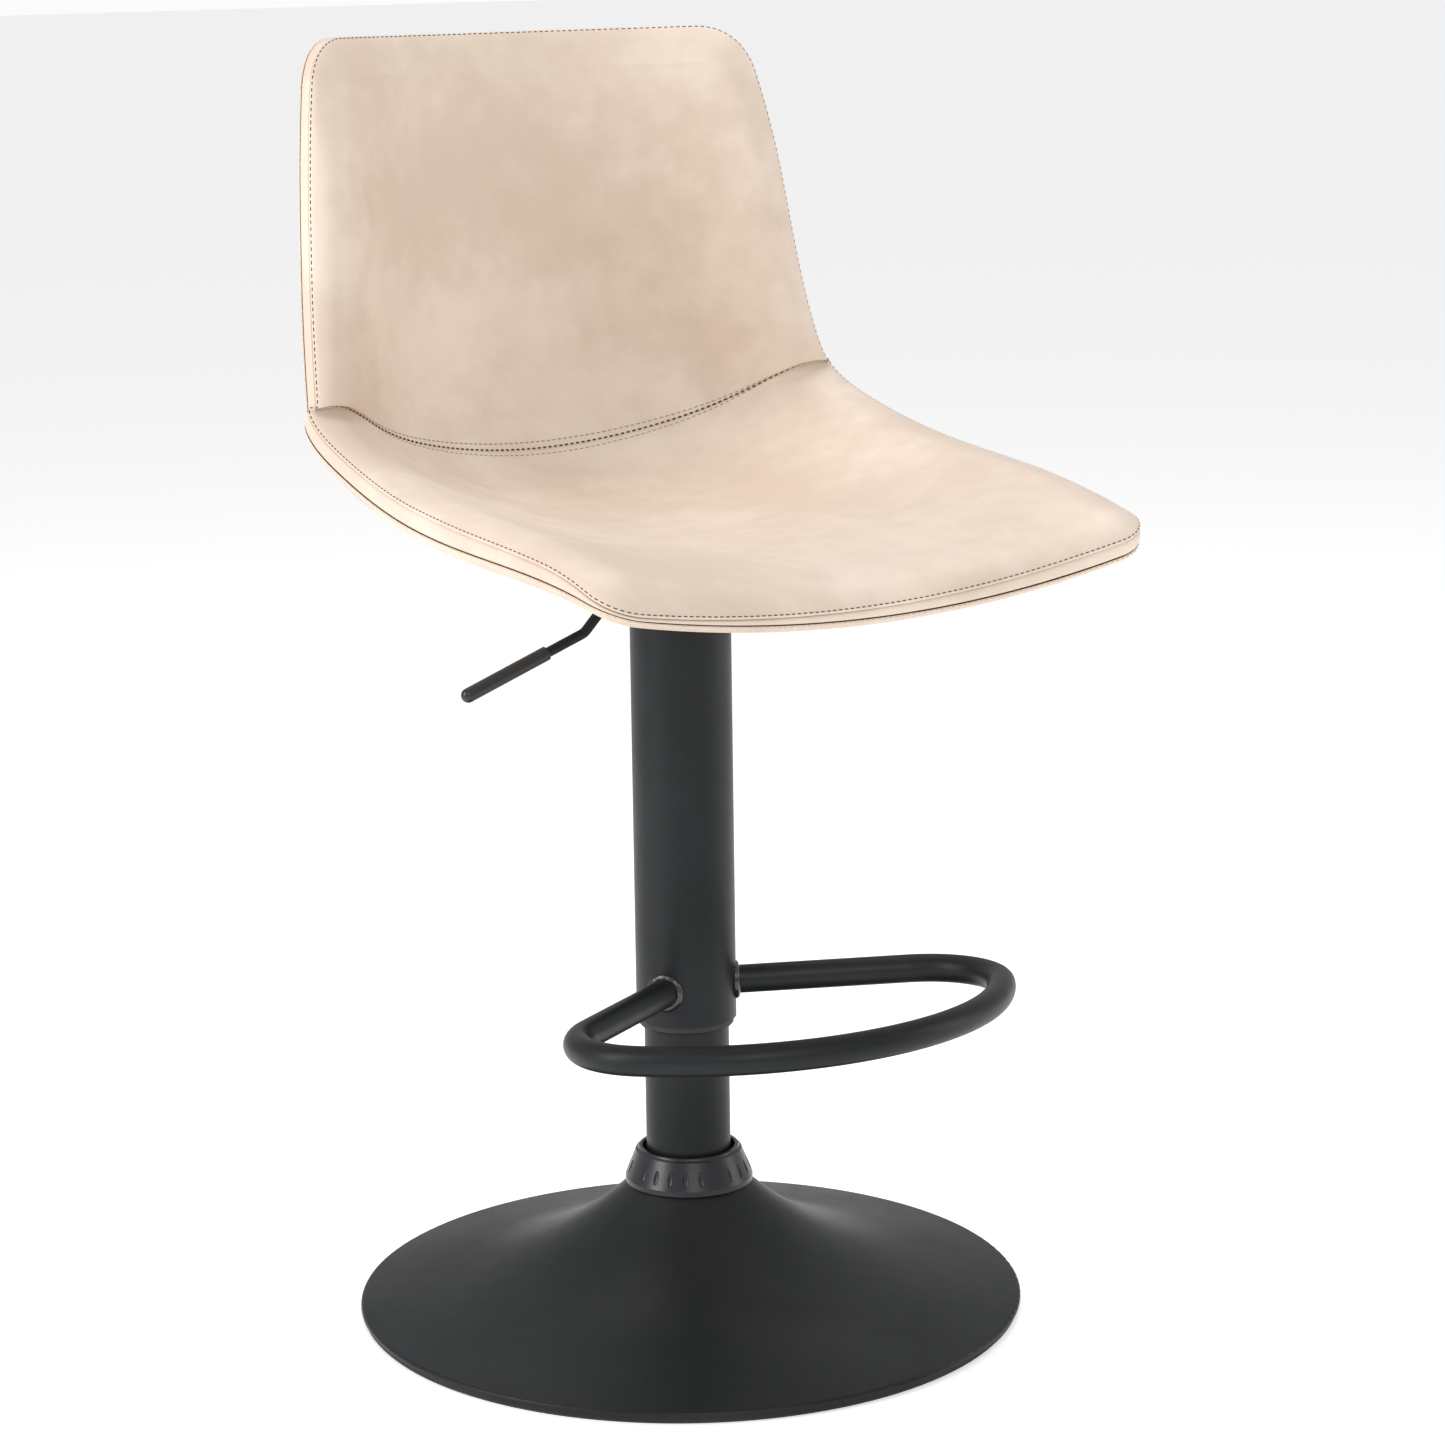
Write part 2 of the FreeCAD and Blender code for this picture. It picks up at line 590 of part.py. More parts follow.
# ---------------------------------------------------------------- upholstered bucket
STATION_NAMES = list(STATIONS)
line_points = [Vec(0, size(name + "_back"), size(name + "_height")) for name in STATION_NAMES]
line_steps = [0.0]
for before, after in zip(line_points, line_points[1:]):
    line_steps.append(line_steps[-1] + (after - before).Length)
centre_line = Part.BSplineCurve()
centre_line.interpolate(Points=line_points, Parameters=line_steps)
spread = Part.BSplineCurve()
spread.interpolate(
    Points=[Vec(size(name + "_half_width"), size(name + "_dish"), 0) for name in STATION_NAMES],
    Parameters=line_steps)
LINE_END = line_steps[-1]
WAIST = line_steps[STATION_NAMES.index("waist")]
ROW_STEPS = 4
STOP_STEPS = 2
CORNER_REACH = 80
CORNER_MARGIN = 1.5
RIM_STEPS = 6
SIDE_STEPS = 30


def slab_row(along, depth, inset):
    """Points across the bucket at one place on its centre line and one depth behind its face."""
    middle = centre_line.value(along)
    forward = centre_line.tangent(along)[0]
    behind = Vec(0, forward.z, -forward.y)
    half_width, dish = spread.value(along).x, spread.value(along).y
    shares = [step / ROW_STEPS for step in range(-ROW_STEPS, ROW_STEPS + 1)]
    across = [share * (half_width - inset) for share in shares]
    return [middle + Vec(x, 0, 0) + behind * (depth - dish * (x / half_width) ** 2) for x in across]


def skin(rows):
    surface = Part.BSplineSurface()
    surface.interpolate(rows)
    return surface


def corner_waste(along, ahead, radius, inset, through):
    """What is trimmed off a corner of the bucket to round it, seen along one direction."""
    def flat(vector):
        return vector - through * vector.dot(through)

    edge = slab_row(along, 0, inset)
    corner = edge[-1]
    inward = flat(edge[-2] - corner).normalize()
    side = flat(slab_row(ahead, 0, inset)[-1] - corner).normalize()
    half = inward.getAngle(side) / 2
    middle = corner + (inward + side).normalize() * (radius / math.sin(half))
    points = [middle]
    for direction in (inward, side):
        touch = corner + direction * (radius / math.tan(half))
        points.append(middle + (touch - middle) * CORNER_MARGIN)
    points.insert(2, middle + (corner - middle) * CORNER_MARGIN)
    reach = through * CORNER_REACH
    face = Part.Face(Part.makePolygon([point - reach for point in points + points[:1]]))
    bar = Part.makeCylinder(radius, 4 * CORNER_REACH, middle - reach * 2, through)
    return face.extrude(reach * 2).cut(bar)


def corner_wastes(inset):
    """The trims of the two front corners, seen from above, and the two top ones, seen ahead."""
    front = size("front_corner") - inset
    top = size("top_corner") - inset
    right = [
        corner_waste(inset, inset + 2 * front, front, inset, UP),
        corner_waste(LINE_END - inset, LINE_END - inset - 2 * top, top, inset, Vec(0, 1, 0)),
    ]
    return right + [waste.mirror(Vec(0, 0, 0), Vec(1, 0, 0)) for waste in right]


def slab(near, far, inset=0.0):
    """A layer of the bucket between two depths: a front and a rear skin, closed all round."""
    stops = [inset] + line_steps[1:-1] + [LINE_END - inset]
    places = [before + (after - before) * step / STOP_STEPS
              for before, after in zip(stops, stops[1:]) for step in range(STOP_STEPS)]
    places.append(stops[-1])
    face = skin([slab_row(place, near, inset) for place in places])
    back = skin([slab_row(place, far, inset) for place in places])
    faces = [face.toShape(), back.toShape()]
    for side in range(4):
        rims = []
        for surface in (face, back):
            place = surface.bounds()[side]
            curve = surface.uIso(place) if side < 2 else surface.vIso(place)
            rims.append(curve.toShape())
        faces.append(Part.makeRuledSurface(*rims))
    shell = Part.makeShell(faces)
    shell.sewShape()
    solid = Part.makeSolid(shell)
    if solid.Volume < 0:
        solid.reverse()
    for waste in corner_wastes(inset):
        solid = solid.cut(waste)
    return solid


def outline_pairs(inset):
    """The right half of the outline: half width and place on the centre line, front to top."""
    ends = []
    for end, onward, corner in ((inset, 1, "front_corner"), (LINE_END - inset, -1, "top_corner")):
        radius = size(corner) - inset
        slope = (spread.value(end + onward * 2 * radius).x - spread.value(end).x) / (2 * radius)
        middle = spread.value(end).x - inset + radius * (slope - math.hypot(1, slope))
        turn = math.atan2(1, slope)
        pairs = [(middle * step / RIM_STEPS, end) for step in range(RIM_STEPS)]
        for step in range(RIM_STEPS + 1):
            angle = turn * step / RIM_STEPS
            pairs.append((middle + radius * math.sin(angle),
                          end + onward * radius * (1 - math.cos(angle))))
        ends.append(pairs)
    first, last = ends[0][-1][1], ends[1][-1][1]
    sides = [first + (last - first) * step / SIDE_STEPS for step in range(1, SIDE_STEPS)]
    return ends[0] + [(spread.value(place).x - inset, place) for place in sides] + ends[1][::-1]


def rim(inset, depth):
    """The bucket's whole outline as one closed edge at an inset and a depth."""
    pairs = outline_pairs(inset)
    pairs += [(-x, place) for x, place in pairs[-2:0:-1]]
    points = []
    for x, place in pairs:
        forward = centre_line.tangent(place)[0]
        half_width, dish = spread.value(place).x, spread.value(place).y
        points.append(centre_line.value(place) + Vec(x, 0, 0)
                      + Vec(0, forward.z, -forward.y) * (depth - dish * (x / half_width) ** 2))
    curve = Part.BSplineCurve()
    curve.interpolate(Points=points, PeriodicFlag=True)
    return curve.toShape()


def shape_of(name, shape):
    item = doc.addObject("Part::Feature", name)
    item.Shape = shape
    return item


pad_depth = size("pad_thick")
core_depth = pad_depth + size("core_thick")
cover_depth = core_depth + size("cover_thick")
inner = size("band_thick") + size("band_gap")
half_spacing = size("screw_spacing") / 2
screw_spots = [Vec(across * half_spacing, along * half_spacing, 0)
               for across in (-1, 1) for along in (-1, 1)]


def nut_rise(spot):
    """How much higher a nut sits than the front ones, as the bucket rises toward its back."""
    return UP * (size("nut_rear_rise") if spot.y > 0 else 0)


def posts(name, radius, low, high):
    """Four upright bars, one at each screw."""
    bars = [rod_between(name, spot + nut_rise(spot) + UP * number(low),
                        spot + nut_rise(spot) + UP * number(high), radius)
            for spot in screw_spots]
    return join(name + "_set", bars)


screw_low = "plate_low - washer_thick"
cover_slab = shape_of("cover_slab", slab(core_depth + size("layer_gap"), cover_depth,
                                         size("cover_inset")))
keep(cut("cover_cut", cover_slab,
         posts("cover_hole", "nut_radius + pad_gap", "plate_low", "nut_top")), "rear_cover")
core_slab = shape_of("core_slab", slab(pad_depth + size("layer_gap"), core_depth,
                                       size("core_inset")))
core_holes = join("core_holes", [
    posts("core_hole", "nut_radius + pad_gap", "plate_low", "nut_top"),
    posts("core_pocket", "nut_flange_radius + pad_gap", "nut_top - nut_flange - pad_gap",
          "nut_top + nut_head_room"),
])
keep(cut("core_cut", core_slab, core_holes), "bucket_core")
pad_slab = slab(0, pad_depth, inner)
waist_point = centre_line.value(WAIST)
waist_turn = FreeCAD.Rotation(UP, centre_line.tangent(WAIST)[0])
waist_reach = 3 * CORNER_REACH


def beyond_waist(side):
    """A block that covers everything on one side of the waist seam."""
    low = size("pad_gap") if side > 0 else -2 * waist_reach - size("pad_gap")
    half_space = Part.makeBox(2 * waist_reach, 2 * waist_reach, 2 * waist_reach,
                              Vec(-waist_reach, -waist_reach, low))
    half_space.Placement = FreeCAD.Placement(waist_point, waist_turn)
    return half_space


keep(shape_of("seat_slab", pad_slab.common(beyond_waist(-1))), "seat_pad")
keep(shape_of("back_slab", pad_slab.common(beyond_waist(1))), "back_pad")
rims = [rim(inset, depth) for inset, depth in
        ((0, 0), (0, core_depth), (size("band_thick"), core_depth), (size("band_thick"), 0))]
band_shell = Part.makeShell([Part.makeRuledSurface(rims[k - 1], rims[k]) for k in range(4)])
band_shell.sewShape()
band_solid = Part.makeSolid(band_shell)
if band_solid.Volume < 0:
    band_solid.reverse()
keep(shape_of("band_ring", band_solid), "edge_band")

# ---------------------------------------------------------------- fasteners
screws = []
washers = []
nuts = []
spacers = []
trim_layers = slab(pad_depth, cover_depth + size("skin_gap"), size("cover_inset"))
for spot in screw_spots:
    head = rod_between("screw_head", spot + UP * (number(screw_low) - size("head_height")),
                       spot + UP * number(screw_low), "head_radius")
    shank = rod_between("screw_shank", spot + UP * number(screw_low),
                        spot + UP * (number(screw_low) + size("screw_length")), "screw_radius")
    screws.append(join("screw", [head, shank]))
    washer = rod_between("washer_disc", spot + UP * number(screw_low), spot + UP * size("plate_low"),
                         "washer_radius")
    washer_hole = rod_between("washer_hole", spot + UP * (number(screw_low) - 1),
                              spot + UP * (size("plate_low") + 1), "screw_radius")
    washers.append(cut("washer", washer, washer_hole))
    nut_end = spot + nut_rise(spot) + UP * size("nut_top")
    barrel = rod_between("nut_barrel", nut_end - UP * size("nut_length"), nut_end, "nut_radius")
    flange = rod_between("nut_flange", nut_end - UP * size("nut_flange"), nut_end,
                         "nut_flange_radius")
    thread = rod_between("nut_thread", nut_end - UP * (size("nut_length") + 1), nut_end + UP,
                         "screw_radius")
    nuts.append(cut("nut", join("nut_blank", [barrel, flange]), thread))
    plate_top = size("plate_low") + size("plate_thick")
    spacer = rod_between("spacer_disc", spot + UP * plate_top,
                         spot + UP * (plate_top + size("spacer_length")), "spacer_radius")
    spacer_hole = rod_between("spacer_hole", spot + UP * (plate_top - 1),
                              spot + UP * (plate_top + size("spacer_length") + 1),
                              "nut_radius + pad_gap")
    layers = shape_of("spacer_trim", trim_layers)
    spacers.append(cut("spacer", spacer, join("spacer_trims", [spacer_hole, layers])))
keep(group("screws", screws), "seat_screws")
keep(group("washers", washers), "seat_washers")
keep(group("nuts", nuts), "seat_tee_nuts")
keep(group("spacers", spacers), "seat_spacers")

# ---------------------------------------------------------------- check and write
doc.recompute()
failed = [item.Name for item in doc.Objects if {"Invalid", "Error"} & set(item.State)]
if failed:
    raise RuntimeError("these objects failed: %s" % ", ".join(failed))
for part in PARTS:
    if part.Shape.isNull() or not part.Shape.isValid() or part.Shape.Volume <= 0:
        raise RuntimeError("the shape of %s is not sound" % part.Label)

os.makedirs("parts", exist_ok=True)
for part in PARTS:
    part.Shape.exportStep(os.path.join("parts", part.Label + ".step"))
    box = part.Shape.BoundBox
    print("%-20s %2d solids %10.1f mm3  z %.1f to %.1f" % (
        part.Label, len(part.Shape.Solids), part.Shape.Volume, box.ZMin, box.ZMax))
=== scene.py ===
import math
import bpy
import numpy as np
from mathutils import Matrix, Vector
from mathutils.bvhtree import BVHTree
from mathutils.kdtree import KDTree


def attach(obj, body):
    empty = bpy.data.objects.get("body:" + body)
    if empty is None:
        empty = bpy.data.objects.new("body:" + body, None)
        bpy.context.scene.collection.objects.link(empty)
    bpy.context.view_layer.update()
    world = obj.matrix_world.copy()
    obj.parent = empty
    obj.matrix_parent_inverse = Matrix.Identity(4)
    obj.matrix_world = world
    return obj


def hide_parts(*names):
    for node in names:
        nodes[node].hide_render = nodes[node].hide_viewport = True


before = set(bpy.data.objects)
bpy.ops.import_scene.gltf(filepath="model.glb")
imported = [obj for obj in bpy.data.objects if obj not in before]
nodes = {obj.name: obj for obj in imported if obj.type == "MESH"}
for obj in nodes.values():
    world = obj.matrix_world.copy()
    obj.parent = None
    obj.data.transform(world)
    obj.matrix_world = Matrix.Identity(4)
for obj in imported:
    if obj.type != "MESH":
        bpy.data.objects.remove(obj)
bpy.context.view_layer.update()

MM = 0.001
scene = bpy.context.scene

# ------------------------------------------------------------------ camera
# A long lens at about the height of the back's top edge, in front of the sitter's right hand,
# which looks a little down at the column.
CAMERA_DISTANCE = 2217 * MM
CAMERA_HEIGHT = 831 * MM
CAMERA_SIDE = 25 * MM
CAMERA_TURN = math.radians(34.3)
CAMERA_DOWN = math.radians(10.32)
CAMERA_ROLL = math.radians(0.8)
CAMERA_LENS = 95.3
CAMERA_SHIFT = -0.08

view_turn = Matrix.Rotation(-CAMERA_TURN, 4, "Z")
camera_place = view_turn @ Vector((CAMERA_SIDE, -CAMERA_DISTANCE, CAMERA_HEIGHT))
camera = bpy.data.objects.new("camera", bpy.data.cameras.new("camera"))
scene.collection.objects.link(camera)
camera.data.lens = CAMERA_LENS
camera.data.shift_y = CAMERA_SHIFT
camera.matrix_world = (Matrix.Translation(camera_place) @ view_turn
                       @ Matrix.Rotation(math.radians(90) - CAMERA_DOWN, 4, "X")
                       @ Matrix.Rotation(-CAMERA_ROLL, 4, "Z"))
scene.camera = camera

# ------------------------------------------------------------------ studio
# A plain pale floor in a white room, lit by four soft boxes: one on the sitter's right, one in
# front, one on the sitter's left and one from above and behind.
FLOOR_SIZE = 60
FLOOR_TONE = (0.9, 0.9, 0.9, 1)
FLOOR_GLOW, FLOOR_ROUGH = 0.42, 0.9
ROOM_LIGHT, WALL_LIGHT = 0.5, 0.97
LIGHT_AIM = Vector((0, 0, 0.45))


def deselect_all():
    """Leave nothing selected, so that an operator acts only on the next new piece."""
    for item in bpy.context.selected_objects:
        item.select_set(False)


def node_adder(tree):
    """A maker of nodes for one tree, which sets their sockets and properties by name."""
    def add(kind, **values):
        node = tree.nodes.new(kind)
        for key, value in values.items():
            if key in node.inputs:
                node.inputs[key].default_value = value
            else:
                setattr(node, key, value)
        return node

    return add


def shader(name):
    """A new material, its node tree and its surface shader."""
    material = bpy.data.materials.new(name)
    material.use_nodes = True
    return material, material.node_tree, material.node_tree.nodes["Principled BSDF"]


deselect_all()
bpy.ops.mesh.primitive_plane_add(size=FLOOR_SIZE)
floor = bpy.context.object
floor.name = "floor"
floor_material, _, floor_surface = shader("studio_floor")
floor_surface.inputs["Base Color"].default_value = FLOOR_TONE
floor_surface.inputs["Roughness"].default_value = FLOOR_ROUGH
floor_surface.inputs["Emission Color"].default_value = (1, 1, 1, 1)
floor_surface.inputs["Emission Strength"].default_value = FLOOR_GLOW
floor.data.materials.append(floor_material)

world = bpy.data.worlds.new("white_room")
world.use_nodes = True
room_light = world.node_tree.nodes["Background"]
room_light.inputs["Color"].default_value = (1, 1, 1, 1)
room_level = world.node_tree.nodes.new("ShaderNodeMapRange")
room_level.inputs["To Min"].default_value = ROOM_LIGHT
room_level.inputs["To Max"].default_value = WALL_LIGHT
seen = world.node_tree.nodes.new("ShaderNodeLightPath")
world.node_tree.links.new(seen.outputs["Is Camera Ray"], room_level.inputs["Value"])
world.node_tree.links.new(room_level.outputs["Result"], room_light.inputs["Strength"])
scene.world = world
scene.view_settings.view_transform = "Standard"


def soft_light(name, turn, height, distance, width, tall, power):
    """A soft box beside the stool: turned from the camera's line, aimed at the seat."""
    light = bpy.data.objects.new(name, bpy.data.lights.new(name, "AREA"))
    scene.collection.objects.link(light)
    light.data.shape = "RECTANGLE"
    light.data.size = width
    light.data.size_y = tall
    light.data.energy = power
    place = view_turn @ (Matrix.Rotation(math.radians(turn), 4, "Z") @ Vector((0, -distance, 0)))
    place.z = height
    aim = LIGHT_AIM - place
    light.matrix_world = Matrix.Translation(place) @ aim.to_track_quat("-Z", "Y").to_matrix().to_4x4()


soft_light("key_light", -62, 1.2, 1.9, 0.8, 1.5, 24)
soft_light("front_fill", 12, 2.4, 3.2, 1.6, 1.6, 30)
soft_light("right_fill", 95, 0.9, 2.4, 0.7, 1.6, 9)
soft_light("top_light", 180, 2.4, 0.7, 1.6, 1.2, 20)

# ------------------------------------------------------------------ powder coated steel
# The base shell, the two column tubes, the footrest and the lift lever are bare steel under one
# baked coat of satin black powder, which leaves a fine orange peel.


def effect_group(name, inputs, outputs):
    """An empty shader group with named inputs and outputs, and its node maker."""
    group = bpy.data.node_groups.new(name, "ShaderNodeTree")
    for label, kind, value in inputs:
        socket = group.interface.new_socket(label, in_out="INPUT", socket_type=kind)
        socket.default_value = value
    for label, kind in outputs:
        group.interface.new_socket(label, in_out="OUTPUT", socket_type=kind)
    start = group.nodes.new("NodeGroupInput")
    end = group.nodes.new("NodeGroupOutput")
    return group, start, end, node_adder(group)


FLOAT, COLOUR = "NodeSocketFloat", "NodeSocketColor"
TONE_LOW, TONE_HIGH = 0.34, 0.68


def uneven_tone_group():
    """Two close tones laid over a surface in soft clouds, with a fine mottle inside them."""
    group, start, end, add = effect_group(
        "uneven_tone",
        [("Light", COLOUR, (1, 1, 1, 1)), ("Dark", COLOUR, (0, 0, 0, 1)),
         ("Cloud Scale", FLOAT, 12), ("Mottle Scale", FLOAT, 90), ("Mottle", FLOAT, 0.25)],
        [("Color", COLOUR), ("Mask", FLOAT)])
    link = group.links.new
    place = add("ShaderNodeTexCoord")
    clouds = add("ShaderNodeTexNoise", Detail=3.0, Roughness=0.5)
    mottle = add("ShaderNodeTexNoise", Detail=2.0, Roughness=0.6)
    soften = add("ShaderNodeMapRange")
    soften.inputs["From Min"].default_value = TONE_LOW
    soften.inputs["From Max"].default_value = TONE_HIGH
    soften.interpolation_type = "SMOOTHSTEP"
    blend = add("ShaderNodeMix", data_type="FLOAT")
    tone = add("ShaderNodeMix", data_type="RGBA")
    link(place.outputs["Object"], clouds.inputs["Vector"])
    link(place.outputs["Object"], mottle.inputs["Vector"])
    link(start.outputs["Cloud Scale"], clouds.inputs["Scale"])
    link(start.outputs["Mottle Scale"], mottle.inputs["Scale"])
    link(start.outputs["Mottle"], blend.inputs["Factor"])
    link(clouds.outputs["Fac"], blend.inputs["A"])
    link(mottle.outputs["Fac"], blend.inputs["B"])
    link(blend.outputs["Result"], soften.inputs["Value"])
    link(soften.outputs["Result"], tone.inputs["Factor"])
    link(start.outputs["Dark"], tone.inputs["A"])
    link(start.outputs["Light"], tone.inputs["B"])
    link(tone.outputs["Result"], end.inputs["Color"])
    link(soften.outputs["Result"], end.inputs["Mask"])
    return group


def fine_skin_group():
    """Height of a fine pebbled or orange peel skin, with a slow waviness under it."""
    group, start, end, add = effect_group(
        "fine_skin",
        [("Scale", FLOAT, 900), ("Wave Scale", FLOAT, 60), ("Wave", FLOAT, 0.2)],
        [("Height", FLOAT)])
    link = group.links.new
    place = add("ShaderNodeTexCoord")
    pebble = add("ShaderNodeTexNoise", Detail=1.0, Roughness=0.5)
    wave = add("ShaderNodeTexNoise", Detail=2.0, Roughness=0.5)
    blend = add("ShaderNodeMix", data_type="FLOAT")
    link(place.outputs["Object"], pebble.inputs["Vector"])
    link(place.outputs["Object"], wave.inputs["Vector"])
    link(start.outputs["Scale"], pebble.inputs["Scale"])
    link(start.outputs["Wave Scale"], wave.inputs["Scale"])
    link(start.outputs["Wave"], blend.inputs["Factor"])
    link(pebble.outputs["Fac"], blend.inputs["A"])
    link(wave.outputs["Fac"], blend.inputs["B"])
    link(blend.outputs["Result"], end.inputs["Height"])
    return group


UNEVEN_TONE = uneven_tone_group()
FINE_SKIN = fine_skin_group()


def coated(name, light, dark, rough, skin_scale, skin_height, cloud=12, mottle=90,
           rough_spread=0.06, wave=0.2, wave_scale=60, metallic=0.0, **constants):
    """A finish in two close tones with its own skin. Extra values set the shader's own sockets."""
    material, tree, surface = shader(name)
    add = node_adder(tree)
    link = tree.links.new
    tone = add("ShaderNodeGroup", node_tree=UNEVEN_TONE)
    tone.inputs["Light"].default_value = (*light, 1)
    tone.inputs["Dark"].default_value = (*dark, 1)
    tone.inputs["Cloud Scale"].default_value = cloud
    tone.inputs["Mottle Scale"].default_value = mottle
    skin = add("ShaderNodeGroup", node_tree=FINE_SKIN)
    skin.inputs["Scale"].default_value = skin_scale
    skin.inputs["Wave Scale"].default_value = wave_scale
    skin.inputs["Wave"].default_value = wave
    rub = add("ShaderNodeMapRange")
    rub.inputs["To Min"].default_value = rough + rough_spread
    rub.inputs["To Max"].default_value = rough - rough_spread
    bump = add("ShaderNodeBump")
    bump.inputs["Distance"].default_value = skin_height
    link(tone.outputs["Color"], surface.inputs["Base Color"])
    link(tone.outputs["Mask"], rub.inputs["Value"])
    link(rub.outputs["Result"], surface.inputs["Roughness"])
    link(skin.outputs["Height"], bump.inputs["Height"])
    link(bump.outputs["Normal"], surface.inputs["Normal"])
    surface.inputs["Metallic"].default_value = metallic
    for socket, value in constants.items():
        surface.inputs[socket.replace("_", " ")].default_value = value
    return material


def finish_node(node, material):
    """Give a CAD piece its finish."""
    item = nodes[node]
    item.data.materials.clear()
    item.data.materials.append(material)


powder_coat = coated("black_powder_coat", (0.011, 0.013, 0.015), (0.008, 0.010, 0.011),
                     0.42, 1100, 0.05 * MM, rough_spread=0.03, Specular_IOR_Level=0.26)
for node in ("base_shell", "column_tube", "outer_tube", "footrest_bar", "lever_rod"):
    finish_node(node, powder_coat)

# ------------------------------------------------------------------ collar and lever grip
# The dimpled collar at the foot of the column and the sleeve on the lever are moulded black
# plastic with a soft gloss, pushed into place.
gloss_plastic = coated("black_gloss_plastic", (0.016, 0.018, 0.022), (0.011, 0.012, 0.015), 0.3,
                       500, 0.03 * MM, rough_spread=0.04)
for node in ("neck_collar", "lever_grip"):
    finish_node(node, gloss_plastic)

# ------------------------------------------------------------------ weld beads
# The footrest is welded to the outer tube at both its ends. The ripples of the weld show through
# the powder coat.
weld_coat = coated("weld_beads", (0.020, 0.023, 0.026), (0.012, 0.014, 0.016), 0.22, 420,
                   0.9 * MM, wave=0.45, wave_scale=160, Coat_Weight=0.6, Coat_Roughness=0.1)
finish_node("footrest_welds", weld_coat)

# ------------------------------------------------------------------ rubber and hidden plastic
# The ring under the base rim is matt rubber, and the bushes and guides inside are matt plastic.
black_rubber = coated("black_rubber", (0.014, 0.014, 0.014), (0.008, 0.008, 0.008), 0.75, 600,
                      0.08 * MM)
for node in ("floor_ring", "piston_seal", "bump_stop"):
    finish_node(node, black_rubber)
matt_plastic = coated("black_matt_plastic", (0.018, 0.019, 0.021), (0.012, 0.013, 0.014), 0.55,
                      800, 0.05 * MM)
for node in ("column_guide_bush", "tube_end_bush", "cylinder_end_guide", "bearing_cage",
             "gas_piston", "seat_spacers"):
    finish_node(node, matt_plastic)

# ------------------------------------------------------------------ mechanism steel
# Pressed and turned steel: black under the seat and in the base, zinc plated or ground elsewhere.
dark_steel = coated("dark_steel", (0.028, 0.029, 0.031), (0.016, 0.017, 0.018), 0.5, 700,
                    0.05 * MM)
for node in ("ballast_plate", "hub_socket", "column_end_plate", "taper_socket", "gas_cylinder",
             "lever_housing", "seat_plate", "lever_pivot_pin"):
    finish_node(node, dark_steel)
bright_steel = coated("bright_steel", (0.60, 0.61, 0.63), (0.48, 0.49, 0.51), 0.3, 900,
                      0.03 * MM, metallic=1.0)
for node in ("piston_rod", "bearing_lower_race", "bearing_upper_race", "bearing_balls",
             "retaining_clip", "seat_screws", "seat_washers", "seat_tee_nuts", "valve_pin"):
    finish_node(node, bright_steel)

# ------------------------------------------------------------------ moulded core
# The stiff shell inside the bucket is pressed plywood, hidden by the upholstery.
finish_node("bucket_core", coated("moulded_plywood", (0.55, 0.38, 0.22), (0.42, 0.28, 0.16), 0.6,
                                  300, 0.1 * MM))

# ------------------------------------------------------------------ seat and back panels
# The face of the bucket is two panels of beige faux leather over foam, which wrap puffily over
# the edge. They are cut, sewn together at the waist and pulled down to the seam of the edge band.
# The bucket's centre line from the front edge to the top edge: how far back and how high its face
# is, its half width, and how far its sides stand in front of the middle.
BUCKET_STATIONS = np.array([
    (-211, 471, 184, 20), (-150, 476, 190, 28), (-80, 478, 196, 33), (-10, 477, 195, 42),
    (70, 480, 190, 57), (150, 506, 185, 72), (172, 560, 179, 70), (178, 650, 170, 58),
    (182, 715, 161, 50), (184, 760, 151, 41)]) * MM
WAIST_STATION = 5
FRONT_CORNER, TOP_CORNER = 24 * MM, 30 * MM
FACE_ROUND, FACE_DROP = 24 * MM, 10 * MM
FACE_FULLNESS = 1.3
RIDGE, RIDGE_REACH = 12.5 * MM, 34 * MM
SHARPEST_CORNER = 3 * MM
VALLEY_DEPTH, VALLEY_WIDTH = 0.9 * MM, 3.6 * MM
ARC_STEPS, CELL, TIGHT_ROW = 8, 6.5 * MM, 1.2 * MM
SWELL_LIMIT, FOAM_VOXEL, FOAM_NEAR = 1.6 * MM, 5 * MM, 8
FOAM_PRESSURE, FOAM_FRAMES = 4, 20
WAIST_GAP, WAIST_HELD = 0.04 * MM, 7 * MM
FACE_HEM = (1.4 * MM, FACE_DROP + 0.7 * MM)
FACE_LINING = (2.2 * MM, 14.4 * MM)
LOOSE_WALL, PANEL_COLUMNS, ROUND_STEPS = 2 * MM, 60, 7
SEAM_SHIFT, SEAM_EASE = 6.5 * MM, 2.5 * MM
SEAM_FADE_START, SEAM_FADE_LENGTH = 70 * MM, 90 * MM
SEAM_FRONT_REACH, SEAM_SIDE_SHARE, SEAM_SIDE_REACH = 34 * MM, 0.42, 300 * MM
SEAM_DEEPEST, RIDGE_DEEPEST = 12 * MM, 1.2

run = np.hypot(*np.diff(BUCKET_STATIONS[:, :2], axis=0).T)
stops = np.concatenate([[0], np.cumsum(run)])
WAIST, END = stops[WAIST_STATION], stops[-1]


def cubic_slopes(knots, values):
    """Slopes of the smooth curve that passes through all the values at the knots."""
    count = len(knots)
    step = np.diff(knots)
    rise = np.diff(values, axis=0) / step[:, None]
    system = np.zeros((count, count))
    right = np.zeros_like(values)
    system[0, 0] = system[-1, -1] = 1
    right[0] = np.polyfit(knots[:4] - knots[0], values[:4], 3)[-2]
    right[-1] = np.polyfit(knots[-4:] - knots[-1], values[-4:], 3)[-2]
    for k in range(1, count - 1):
        system[k, k - 1], system[k, k + 1] = step[k], step[k - 1]
        system[k, k] = 2 * (step[k - 1] + step[k])
        right[k] = 3 * (step[k] * rise[k - 1] + step[k - 1] * rise[k])
    return np.linalg.solve(system, right)


